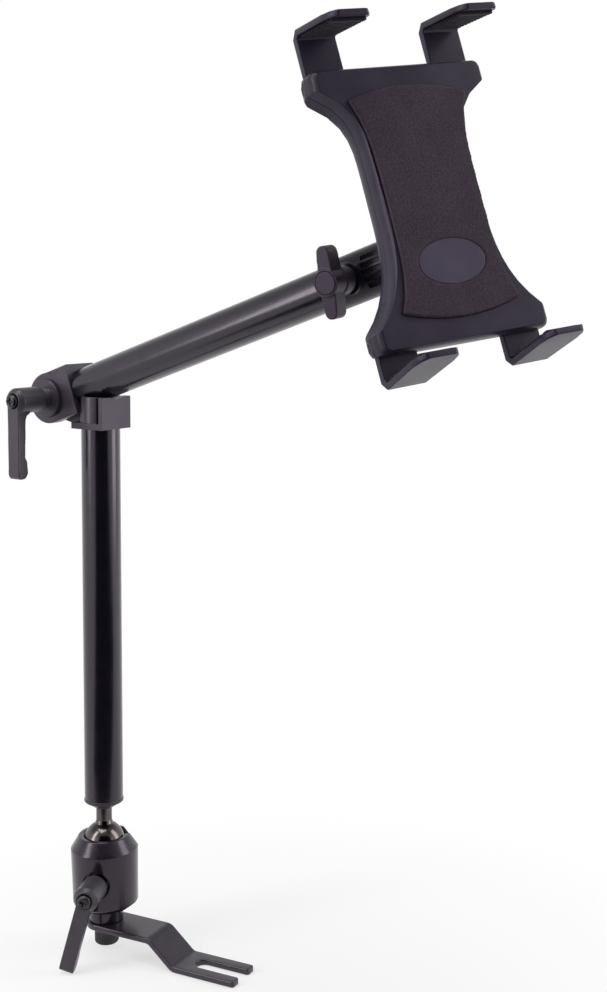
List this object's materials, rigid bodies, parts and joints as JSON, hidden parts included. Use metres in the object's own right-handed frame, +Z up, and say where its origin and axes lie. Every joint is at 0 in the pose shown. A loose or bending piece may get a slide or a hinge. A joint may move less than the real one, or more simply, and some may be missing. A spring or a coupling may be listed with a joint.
{
  "type": "seat rail tablet mount",
  "caption": "Tablet holder with four sliding claws on a two-tube folding arm, carried by a ball head and a forked strap that a seat bolt clamps.",
  "frame": {"origin": "centre of the fork slot's round end, on the underside of the fork flange that lies on the seat rail", "axes": "+X runs along the strap towards the prong tips, +Z points up out of the flange, and Y crosses the strap"},
  "size_m": [0.3838, 0.1281, 0.5934],
  "materials": {
    "bracket_paint": "satin black powder coat",
    "head_finish": "satin black anodised",
    "tube_finish": "semi-gloss black paint",
    "fitting_finish": "satin black paint",
    "lever_finish": "semi-gloss black coating",
    "dark_steel": "black oxide",
    "bright_steel": "zinc plated",
    "ball_finish": "polished",
    "seat_brass": "turned",
    "clamp_plastic": "fine moulded",
    "knob_plastic": "semi-gloss moulded",
    "shell_plastic": "fine textured",
    "pad_rubber": "soft matt",
    "grip_rubber": "ribbed"
  },
  "bodies": {
    "seat_bracket": {"bracket": "bracket_paint", "base_screw": "dark_steel", "base_washer": "bright_steel"},
    "head": {"head_base": "head_finish", "head_housing": "head_finish", "ball_seat": "seat_brass"},
    "head_lever": {"head_lever_stud": "bright_steel", "head_lever_handle": "lever_finish", "head_lever_spring": "bright_steel", "head_lever_screw": "dark_steel"},
    "ball": {"ball_stem": "ball_finish"},
    "mast": {"lower_end_cap": "fitting_finish", "lower_tube": "tube_finish", "lower_knuckle": "fitting_finish"},
    "arm": {"upper_knuckle": "fitting_finish", "elbow_washer": "fitting_finish", "upper_tube": "tube_finish", "clamp_plug": "clamp_plastic"},
    "elbow_lever": {"elbow_lever_stud": "bright_steel", "elbow_lever_handle": "lever_finish", "elbow_lever_spring": "bright_steel", "elbow_lever_screw": "dark_steel"},
    "ball_clamp": {"near_clamp_half": "clamp_plastic", "far_clamp_half": "clamp_plastic", "clamp_bolt": "bright_steel", "clamp_spring": "bright_steel", "knob_washer": "bright_steel"},
    "knob": {"wing_knob": "knob_plastic", "knob_cap": "knob_plastic"},
    "holder_ball_stud": {"holder_ball": "shell_plastic"},
    "holder": {"back_plate": "shell_plastic", "plate_screws": "bright_steel", "rear_shell": "shell_plastic", "front_shell": "shell_plastic", "grip_pad": "pad_rubber", "pad_badge": "pad_rubber", "upper_drag_spring": "bright_steel", "lower_drag_spring": "bright_steel", "shell_screws": "bright_steel"},
    "upper_claw_pair": {"upper_claws": "shell_plastic", "upper_left_grip": "grip_rubber", "upper_right_grip": "grip_rubber"},
    "lower_claw_pair": {"lower_claws": "shell_plastic", "lower_left_grip": "grip_rubber", "lower_right_grip": "grip_rubber"}
  },
  "joints": [
    {"name": "head_turn", "type": "hinge", "parent": "seat_bracket", "child": "head", "pos_m": [-0.077, 0, 0.019], "axis": [0, 0, 1], "range_deg": [-109, 1]},
    {"name": "head_lever_turn", "type": "hinge", "parent": "head", "child": "head_lever", "pos_m": [-0.07153, -0.01588, 0.05], "axis": [0.3256, -0.9455, 0], "continuous": true},
    {"name": "mast_tilt", "type": "hinge", "parent": "head", "child": "ball", "pos_m": [-0.077, 0, 0.073], "axis": [-0.7986, 0.6018, 0], "range_deg": [-30, 86]},
    {"name": "mast_turn", "type": "hinge", "parent": "ball", "child": "mast", "pos_m": [-0.077, 0, 0.073], "axis": [0.0105, 0.0139, 0.9998], "continuous": true},
    {"name": "elbow", "type": "hinge", "parent": "mast", "child": "arm", "pos_m": [-0.10768, 0.00797, 0.36856], "axis": [-0.1131, -0.9935, 0.015], "range_deg": [-2, 150]},
    {"name": "elbow_lever_turn", "type": "hinge", "parent": "arm", "child": "elbow_lever", "pos_m": [-0.10768, 0.00797, 0.36856], "axis": [-0.1131, -0.9935, 0.015], "continuous": true},
    {"name": "clamp_twist", "type": "hinge", "parent": "arm", "child": "ball_clamp", "pos_m": [0.10741, -0.01544, 0.44049], "axis": [0.9434, -0.1026, 0.3155], "continuous": true},
    {"name": "wing_knob_turn", "type": "hinge", "parent": "ball_clamp", "child": "knob", "pos_m": [0.12533, -0.01739, 0.44648], "axis": [-0.0799, -0.9932, -0.0842], "continuous": true},
    {"name": "holder_tilt", "type": "hinge", "parent": "ball_clamp", "child": "holder_ball_stud", "pos_m": [0.15599, -0.02072, 0.45674], "axis": [-0.3119, 0.0499, 0.9488], "range_deg": [-6, 58]},
    {"name": "holder_turn", "type": "hinge", "parent": "holder_ball_stud", "child": "holder", "pos_m": [0.15599, -0.02072, 0.45674], "axis": [0.7957, -0.5387, 0.277], "continuous": true},
    {"name": "upper_claws_slide", "type": "slide", "parent": "holder", "child": "upper_claw_pair", "axis": [-0.293, 0.058, 0.9544], "range_m": [0, 0.06]},
    {"name": "lower_claws_slide", "type": "slide", "parent": "holder", "child": "lower_claw_pair", "axis": [0.293, -0.058, -0.9544], "range_m": [0, 0.06]}
  ]
}
